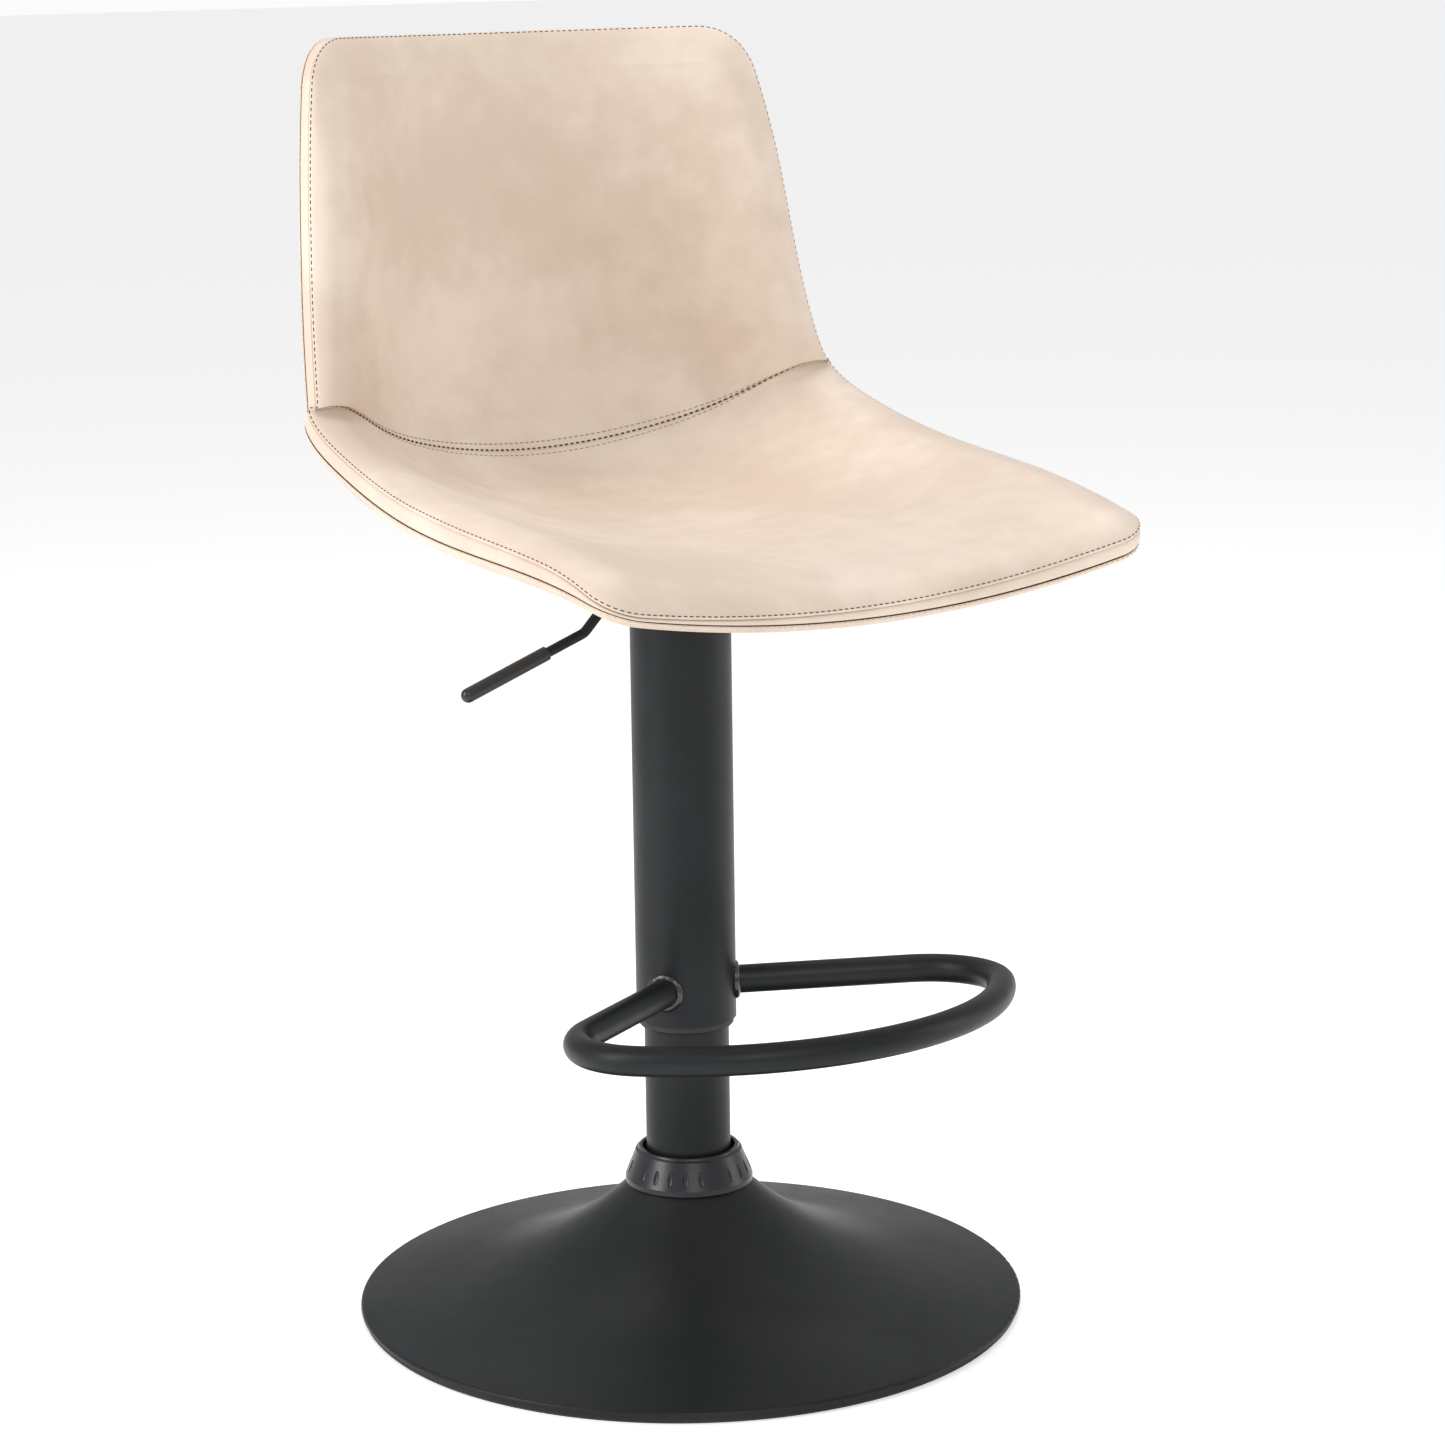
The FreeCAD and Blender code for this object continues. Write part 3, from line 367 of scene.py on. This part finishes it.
station_slopes = cubic_slopes(stops, BUCKET_STATIONS)


def along_bucket(place):
    """Back, height, half width and dish of the bucket at places along it, and their slopes."""
    place = np.clip(np.asarray(place, float), 0, END)
    k = np.clip(np.searchsorted(stops, place, side="right") - 1, 0, len(stops) - 2)
    step = (stops[k + 1] - stops[k])[..., None]
    t = (place - stops[k])[..., None] / step
    a, b = BUCKET_STATIONS[k], BUCKET_STATIONS[k + 1]
    u, v = station_slopes[k] * step, station_slopes[k + 1] * step
    value = (a * (1 + 2 * t) * (1 - t) ** 2 + b * t ** 2 * (3 - 2 * t)
             + u * t * (1 - t) ** 2 - v * t ** 2 * (1 - t))
    slope = (6 * t * (1 - t) * (b - a) + u * (1 - t) * (1 - 3 * t) - v * t * (2 - 3 * t)) / step
    return value, slope


def bucket_point(x, place, depth):
    """Points of the bucket: how far to the side, how far along it, how deep behind its face."""
    value, slope = along_bucket(place)
    length = np.hypot(slope[..., 0], slope[..., 1])
    sink = depth - value[..., 3] * (x / value[..., 2]) ** 2
    return np.stack([x + 0 * sink, value[..., 0] + sink * slope[..., 1] / length,
                     value[..., 1] - sink * slope[..., 0] / length], axis=-1)


def corner_rows(end, onward, corner, inset):
    """Half width and place of the rows that round one corner, from the end line to the side."""
    radius = max(corner - inset, SHARPEST_CORNER)
    near = along_bucket(end + onward * inset)[0][2]
    ahead = along_bucket(end + onward * (inset + 2 * radius))[0][2]
    slope = (ahead - near) / (2 * radius)
    middle = near - inset + radius * (slope - math.hypot(1, slope))
    angle = math.atan2(1, slope) * np.linspace(0, 1, ARC_STEPS + 1)
    return (middle + radius * np.sin(angle),
            end + onward * (inset + radius * (1 - np.cos(angle))))


def side_rows(start, stop, inset):
    """Half width and place of every row of a panel that runs from start to stop."""
    widths, places = [], []
    low, high = start, stop
    if start == 0:
        width, place = corner_rows(0, 1, FRONT_CORNER, inset)
        widths.append(width[:-1])
        places.append(place[:-1])
        low = place[-1]
    if stop == END:
        top_width, top_place = corner_rows(END, -1, TOP_CORNER, inset)
        high = top_place[-1]
    count = max(2, round((stop - start) / CELL))
    if start > 0:
        middle = np.concatenate([[low], np.linspace(low + TIGHT_ROW, high, count)])
    elif stop < END:
        middle = np.concatenate([np.linspace(low, high - TIGHT_ROW, count), [high]])
    else:
        middle = np.linspace(low, high, count + 1)
    widths.append(along_bucket(middle)[0][:, 2] - inset)
    places.append(middle)
    if stop == END:
        widths.append(top_width[-2::-1])
        places.append(top_place[-2::-1])
    return np.concatenate(widths), np.concatenate(places)


def seam_shift(x, place):
    """How much deeper the face seam runs than its usual depth: most at the front corner on the
    sitter's right, and less along that side and up the back."""
    to_right = np.clip(SEAM_SIDE_SHARE - x / SEAM_SIDE_REACH, 0, 1)
    front = np.exp(-(place / SEAM_FRONT_REACH) ** 2) * to_right
    along = np.clip((place - SEAM_FADE_START) / SEAM_FADE_LENGTH, 0, 1)
    return SEAM_SHIFT * front - SEAM_EASE * along


RIDGE_PLACES = [0, 30 * MM, 110 * MM, WAIST - 60 * MM, WAIST + 50 * MM, END - 90 * MM, END]
RIDGE_SHARES = [0, 0, 0.3, 0.4, 1, 1, 0.1]


def ridge_height(place):
    """How far the foam stands up along the sides: little on the seat, most on the wings."""
    return RIDGE * np.interp(place, RIDGE_PLACES, RIDGE_SHARES)


def panel_points(start, stop, row, share, inset, depth):
    """Where the vertices of a panel lie, from their row, their share of its width and a layer."""
    widths, places = side_rows(start, stop, inset)
    place = places[row]
    x = share * widths[row]
    if depth < RIDGE_DEEPEST * FACE_DROP:
        inward = (1 - np.abs(share)) * widths[row]
        rise = ridge_height(place) * np.exp(-(inward / RIDGE_REACH) ** 2)
        depth = depth - rise * np.clip(1 - depth / FACE_DROP, 0, 1)
    depth = depth + seam_shift(x, place) * np.clip(depth / FACE_DROP, 0, 1) * (depth < SEAM_DEEPEST)
    valley = VALLEY_DEPTH * np.exp(-((place - WAIST) / VALLEY_WIDTH) ** 2)
    return bucket_point(x, place, depth + valley * (depth < FACE_DROP))


def set_points(item, points):
    """Move every vertex of a piece to its point."""
    item.data.vertices.foreach_set("co", np.ascontiguousarray(points, np.float32).ravel())
    item.data.update()


def get_points(item):
    """The points of all vertices of a piece."""
    points = np.empty(len(item.data.vertices) * 3, np.float32)
    item.data.vertices.foreach_get("co", points)
    return points.reshape(-1, 3).astype(float)


def apply_modifier(item, kind, **settings):
    """Add a modifier with the given settings and apply it."""
    bpy.context.view_layer.objects.active = item
    modifier = item.modifiers.new(kind.lower(), kind)
    for key, value in settings.items():
        setattr(modifier, key, value)
    bpy.ops.object.modifier_apply(modifier=modifier.name)


def sewn_panel(name, start, stop, layers, lining):
    """A closed panel of the bucket. Its grid is the flat part, its rim is pulled out layer by layer
    over the edge, and the lining closes it behind."""
    rows = len(side_rows(start, stop, layers[0][0])[0]) - 1
    deselect_all()
    bpy.ops.mesh.primitive_grid_add(x_subdivisions=PANEL_COLUMNS, y_subdivisions=rows, size=2)
    item = bpy.context.object
    item.name = item.data.name = name
    flat = get_points(item)
    key = item.data.attributes.new("row_and_share", "FLOAT_VECTOR", "POINT")
    row_and_share = np.zeros_like(flat)
    row_and_share[:, 0] = np.round((flat[:, 1] + 1) / 2 * rows)
    row_and_share[:, 1] = flat[:, 0]
    key.data.foreach_set("vector", row_and_share.astype(np.float32).ravel())
    layer_of = np.zeros(len(flat), int)
    for layer in range(1, len(layers)):
        bpy.ops.object.mode_set(mode="EDIT")
        bpy.ops.mesh.select_mode(type="EDGE")
        bpy.ops.mesh.select_all(action="DESELECT")
        bpy.ops.mesh.select_non_manifold(extend=False)
        bpy.ops.mesh.extrude_edges_move()
        bpy.ops.object.mode_set(mode="OBJECT")
        added = len(item.data.vertices) - len(layer_of)
        layer_of = np.concatenate([layer_of, np.full(added, layer)])
    outer = len(layer_of)
    apply_modifier(item, "SOLIDIFY", thickness=LOOSE_WALL, offset=-1)
    keys = np.empty(outer * 2 * 3, np.float32)
    item.data.attributes["row_and_share"].data.foreach_get("vector", keys)
    keys = keys.reshape(-1, 3)
    points = np.zeros((outer * 2, 3))
    for side in (0, 1):
        for layer, (inset, depth) in enumerate(layers):
            chosen = np.where(layer_of == layer)[0]
            here = keys[chosen]
            if side:
                inset, depth = inset + lining[0], lining[1]
            points[chosen + side * outer] = panel_points(
                start, stop, np.round(here[:, 0]).astype(int), here[:, 1], inset, depth)
    set_points(item, points)
    bpy.ops.object.mode_set(mode="EDIT")
    bpy.ops.mesh.select_all(action="SELECT")
    bpy.ops.mesh.normals_make_consistent(inside=False)
    bpy.ops.mesh.select_all(action="DESELECT")
    bpy.ops.object.mode_set(mode="OBJECT")
    return item, layer_of, keys


def point_tree(points):
    """A lookup of the nearest of some points."""
    tree = KDTree(len(points))
    for k, point in enumerate(points):
        tree.insert(point, k)
    tree.balance()
    return tree


def swell(item, free):
    """Blow the foam up under a panel. A remeshed copy swells as cloth, and the free points of the
    panel follow its nearest points, each by no more than the limit."""
    rest = get_points(item)
    pad = item.copy()
    pad.data = item.data.copy()
    scene.collection.objects.link(pad)
    apply_modifier(pad, "REMESH", mode="VOXEL", voxel_size=FOAM_VOXEL)
    start = get_points(pad)
    panel_tree = point_tree(rest)
    sewn = [k for k, spot in enumerate(start) if not free[panel_tree.find(spot)[1]]]
    group = pad.vertex_groups.new(name="sewn")
    group.add(sewn, 1.0, "REPLACE")
    foam = pad.modifiers.new("foam", "CLOTH")
    foam.settings.vertex_group_mass = "sewn"
    foam.settings.use_pressure = True
    foam.settings.uniform_pressure_force = FOAM_PRESSURE
    foam.settings.effector_weights.gravity = 0
    foam.point_cache.frame_start, foam.point_cache.frame_end = 1, FOAM_FRAMES
    for frame_number in range(1, FOAM_FRAMES + 1):
        scene.frame_set(frame_number)
    blown = pad.evaluated_get(bpy.context.evaluated_depsgraph_get()).to_mesh()
    moved = np.empty(len(blown.vertices) * 3, np.float32)
    blown.vertices.foreach_get("co", moved)
    shift = moved.reshape(-1, 3) - start
    scene.frame_set(1)
    bpy.data.objects.remove(pad)
    length = np.maximum(np.linalg.norm(shift, axis=1, keepdims=True), 1e-9)
    shift *= SWELL_LIMIT * np.tanh(length / SWELL_LIMIT) / length
    pad_tree = point_tree(start)
    for k in np.where(free)[0]:
        near = [index for _, index, _ in pad_tree.find_n(rest[k], FOAM_NEAR)]
        rest[k] += shift[near].mean(axis=0)
    set_points(item, rest)


def finish_panel(item, *replaced):
    """Smooth an upholstered piece, dress it in leather and put it in place of its CAD nodes."""
    key = item.data.attributes.get("row_and_share")
    if key:
        item.data.attributes.remove(key)
    apply_modifier(item, "SUBSURF", levels=1, render_levels=1)
    deselect_all()
    item.select_set(True)
    bpy.context.view_layer.objects.active = item
    bpy.ops.object.shade_smooth()
    item.data.materials.clear()
    item.data.materials.append(leather)
    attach(item, "seat_unit")
    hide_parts(*replaced)


leather = coated("beige_faux_leather", (0.78, 0.66, 0.55), (0.66, 0.53, 0.43), 0.47, 700,
                 0.10 * MM, cloud=9, mottle=60, wave=0.35, wave_scale=70,
                 Specular_IOR_Level=0.45, Sheen_Weight=0.08, Sheen_Roughness=0.4)


def face_round(turn):
    """Inset and depth of the rounded side of a face panel, from its flat part down to the seam."""
    return (FACE_ROUND * (1 - math.sin(turn) ** FACE_FULLNESS),
            FACE_DROP * (1 - math.cos(turn) ** FACE_FULLNESS))


face_layers = [face_round(turn) for turn in np.radians(np.linspace(0, 90, ROUND_STEPS))]
face_layers.append(FACE_HEM)
panels = {}
for name, start, stop, node in (("seat_panel", 0, WAIST - WAIST_GAP, "seat_pad"),
                                ("back_panel", WAIST + WAIST_GAP, END, "back_pad")):
    item, layer_of, keys = sewn_panel(name, start, stop, face_layers, FACE_LINING)
    outer = len(layer_of)
    _, places = side_rows(start, stop, FACE_ROUND)
    row = np.round(keys[:outer, 0]).astype(int)
    free = np.zeros(2 * outer, bool)
    free[:outer] = (layer_of <= 1) & (np.abs(places[row] - WAIST) > WAIST_HELD)
    swell(item, free)
    finish_panel(item, node)
    panels[name] = item

# ------------------------------------------------------------------ edge band
# A narrow strip of the same faux leather that closes the bucket all round, between the seam of
# the face panels and the seam of the rear cover.
BAND_FRONT, BAND_REAR = 10.6 * MM, 18.6 * MM
END_CELLS, RING_RADIUS, RING_SECTION = 14, 200 * MM, 5 * MM
# The band's section, once round it: how far in from the outline and how deep behind the face,
# both in millimetres.
BAND_PROFILE = [(1.3, 10.7), (0.35, 11.3), (0.0, 12.8), (-0.1, 14.6), (0.0, 16.4), (0.35, 17.9),
                (1.3, 18.5), (3.4, 18.3), (3.4, 14.6), (3.4, 10.9)]


def outline_loop(inset):
    """The whole outline, once round: distance to the side and place along the bucket."""
    widths, places = side_rows(0, END, inset)
    front = np.linspace(-1, 1, END_CELLS + 1)[1:-1] * widths[0]
    top = np.linspace(1, -1, END_CELLS + 1)[1:-1] * widths[-1]
    x = np.concatenate([front, widths, top, -widths[::-1]])
    place = np.concatenate([np.full(len(front), places[0]), places, np.full(len(top), places[-1]),
                            places[::-1]])
    return x, place


around = len(outline_loop(0)[0])
deselect_all()
bpy.ops.mesh.primitive_torus_add(major_segments=around, minor_segments=len(BAND_PROFILE),
                                 major_radius=RING_RADIUS, minor_radius=RING_SECTION)
band = bpy.context.object
band.name = band.data.name = "edge_band_strip"
loops = []
for inset, depth in BAND_PROFILE:
    x, place = outline_loop(inset * MM)
    share = np.clip((BAND_REAR - depth * MM) / (BAND_REAR - BAND_FRONT), 0, 1)
    loops.append(bucket_point(x, place, depth * MM + seam_shift(x, place) * share))
set_points(band, np.stack(loops, axis=1).reshape(-1, 3))
bpy.ops.object.mode_set(mode="EDIT")
bpy.ops.mesh.select_all(action="SELECT")
bpy.ops.mesh.normals_make_consistent(inside=False)
bpy.ops.object.mode_set(mode="OBJECT")
finish_panel(band, "edge_band")

# ------------------------------------------------------------------ rear cover
# One panel of faux leather over the back of the moulded core, rounded in from the rear seam.
REAR_EDGE, REAR_ROUND = 0.3 * MM, 12.7 * MM
REAR_SEAM_FOOT, REAR_FULL = 19 * MM, 6 * MM
REAR_TURN_START, REAR_TURNS = 15, 6
REAR_HEM, REAR_LINING = (1.4 * MM, 18.7 * MM), (2.5 * MM, 22.6 * MM)
rear_layers = [(REAR_EDGE + REAR_ROUND, REAR_SEAM_FOOT + REAR_FULL)]
for turn in np.radians(np.linspace(REAR_TURN_START, 90, REAR_TURNS)):
    rear_layers.append((REAR_EDGE + REAR_ROUND * (1 - math.sin(turn)),
                        REAR_SEAM_FOOT + REAR_FULL * math.cos(turn)))
rear_layers.append(REAR_HEM)
cover, _, _ = sewn_panel("rear_cover_panel", 0, END, rear_layers, REAR_LINING)
finish_panel(cover, "rear_cover")

# ------------------------------------------------------------------ stitches
# Every seam is sewn with a thick thread. Its stitches are short, fat and a little sunk: dark
# brown along the waist and the face seam, beige beside the waist and cream at the rear seam.
STITCH_PITCH, STITCH_LENGTH, THREAD, THIN_THREAD = 3.9 * MM, 2.6 * MM, 0.5 * MM, 0.36 * MM
ROW_SHIFT, MIDDLE_SHIFT, MIDDLE_THREAD, BAND_THREAD = 5.2 * MM, 0.9 * MM, 0.6 * MM, 0.3 * MM
FACE_SEAM_INSET, FACE_SEAM_DEPTH = 0.3 * MM, 8.3 * MM
REAR_SEAM_INSET, REAR_SEAM_DEPTH = 0.4 * MM, 19.8 * MM
BAND_ROW_FRONT, BAND_ROW_REAR, BAND_ROW_POINTS = 11.4 * MM, 17.8 * MM, 6
THREAD_FINISH = (0.6, 2500, 0.05 * MM)
STITCH_SQUARENESS = 0.5
ROW_TURNS, ROW_ACROSS = np.radians(np.linspace(5, 84, 12)), np.linspace(-1, 1, 61)

deselect_all()
bpy.ops.mesh.primitive_uv_sphere_add(segments=6, ring_count=5, radius=1)
stitch_model = bpy.context.object
stitch_points = get_points(stitch_model)
stitch_points[:, 2] = np.sign(stitch_points[:, 2]) * np.abs(stitch_points[:, 2]) ** STITCH_SQUARENESS
stitch_faces = [list(face.vertices) for face in stitch_model.data.polygons]
bpy.data.objects.remove(stitch_model)


def surface_tree(item):
    """A lookup of the nearest place on a piece."""
    return BVHTree.FromPolygons([vertex.co for vertex in item.data.vertices],
                                [list(face.vertices) for face in item.data.polygons])


def sew(name, item, path, material, thread=THREAD):
    """A row of stitches over a piece, along a path that lies near its surface."""
    tree = trees[item.name]
    legs = np.linalg.norm(np.diff(path, axis=0), axis=1)
    reach = np.concatenate([[0], np.cumsum(legs)])
    count = int(reach[-1] // STITCH_PITCH)
    points, faces = [], []
    for k in range(count):
        middle = (k + 0.5) * reach[-1] / count
        ends = []
        for ahead in (-STITCH_LENGTH / 2, STITCH_LENGTH / 2):
            spot = [np.interp(middle + ahead, reach, path[:, axis]) for axis in range(3)]
            ends.append(tree.find_nearest(Vector(spot))[0])
        middle_point = (ends[0] + ends[1]) / 2
        axis = ends[1] - ends[0]
        half = axis.length / 2
        turn = axis.to_track_quat("Z", "Y").to_matrix()
        size = np.array((thread, thread, half))
        faces += [[k * len(stitch_points) + corner for corner in face] for face in stitch_faces]
        points += [middle_point + turn @ Vector(point * size) for point in stitch_points]
    mesh = bpy.data.meshes.new(name)
    mesh.from_pydata(points, [], faces)
    row = bpy.data.objects.new(name, mesh)
    scene.collection.objects.link(row)
    mesh.shade_smooth()
    mesh.materials.append(material)
    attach(row, "seat_unit")


trees = {item.name: surface_tree(item) for item in (*panels.values(), band, cover)}
brown_thread = coated("brown_thread", (0.10, 0.055, 0.035), (0.05, 0.03, 0.02), *THREAD_FINISH)
beige_thread = coated("beige_thread", (0.42, 0.30, 0.22), (0.30, 0.21, 0.15), *THREAD_FINISH)
cream_thread = coated("cream_thread", (0.80, 0.68, 0.56), (0.66, 0.54, 0.43), *THREAD_FINISH)


def closed_path(inset, depth):
    """Once round the outline at one inset and depth, ending where it starts."""
    x, place = outline_loop(inset)
    path = bucket_point(x, place, depth)
    return np.concatenate([path, path[:1]])


face_path_x, face_path_place = outline_loop(FACE_SEAM_INSET)
face_path = bucket_point(face_path_x, face_path_place,
                         FACE_SEAM_DEPTH + seam_shift(face_path_x, face_path_place))
on_seat = face_path_place < WAIST
order = np.roll(np.arange(around), -int(np.argmax(~on_seat)))
back_order = order[~on_seat[order]]
seat_order = order[on_seat[order]]
sew("face_seam_back", panels["back_panel"], face_path[back_order], brown_thread, THIN_THREAD)
sew("face_seam_seat", panels["seat_panel"], face_path[seat_order], brown_thread, THIN_THREAD)
sew("rear_seam", cover, closed_path(REAR_SEAM_INSET, REAR_SEAM_DEPTH), cream_thread)


def waist_path(place):
    """Across the face at one place along the bucket, and down its rounded sides to the seam."""
    width = along_bucket(place)[0][2]
    drop = [face_round(turn) for turn in ROW_TURNS]
    across = ROW_ACROSS * (width - FACE_ROUND)
    x = np.concatenate([[-(width - inset) for inset, _ in drop[::-1]], across,
                        [width - inset for inset, _ in drop]])
    depth = np.concatenate([[sink for _, sink in drop[::-1]], 0 * across, [sink for _, sink in drop]])
    inward = np.clip(width - FACE_ROUND - np.abs(x), 0, None)
    rise = ridge_height(place) * np.exp(-(inward / RIDGE_REACH) ** 2) * (1 - depth / FACE_DROP)
    valley = VALLEY_DEPTH * math.exp(-((place - WAIST) / VALLEY_WIDTH) ** 2)
    return bucket_point(x, np.full(len(x), place), depth + valley - rise)


sew("waist_row_low", panels["seat_panel"], waist_path(WAIST - ROW_SHIFT), beige_thread, THIN_THREAD)
sew("waist_row_middle", panels["back_panel"], waist_path(WAIST + MIDDLE_SHIFT), brown_thread,
    MIDDLE_THREAD)
sew("waist_row_high", panels["back_panel"], waist_path(WAIST + ROW_SHIFT), beige_thread, THIN_THREAD)
for label, side in (("right", -1), ("left", 1)):
    for row_name, shift in (("low", -ROW_SHIFT), ("high", ROW_SHIFT)):
        place = WAIST + shift
        width = along_bucket(place)[0][2]
        depths = np.linspace(BAND_ROW_FRONT, BAND_ROW_REAR, BAND_ROW_POINTS)
        path = bucket_point(0 * depths + side * width, 0 * depths + place, depths)
        sew("band_row_%s_%s" % (label, row_name), band, path, beige_thread, BAND_THREAD)
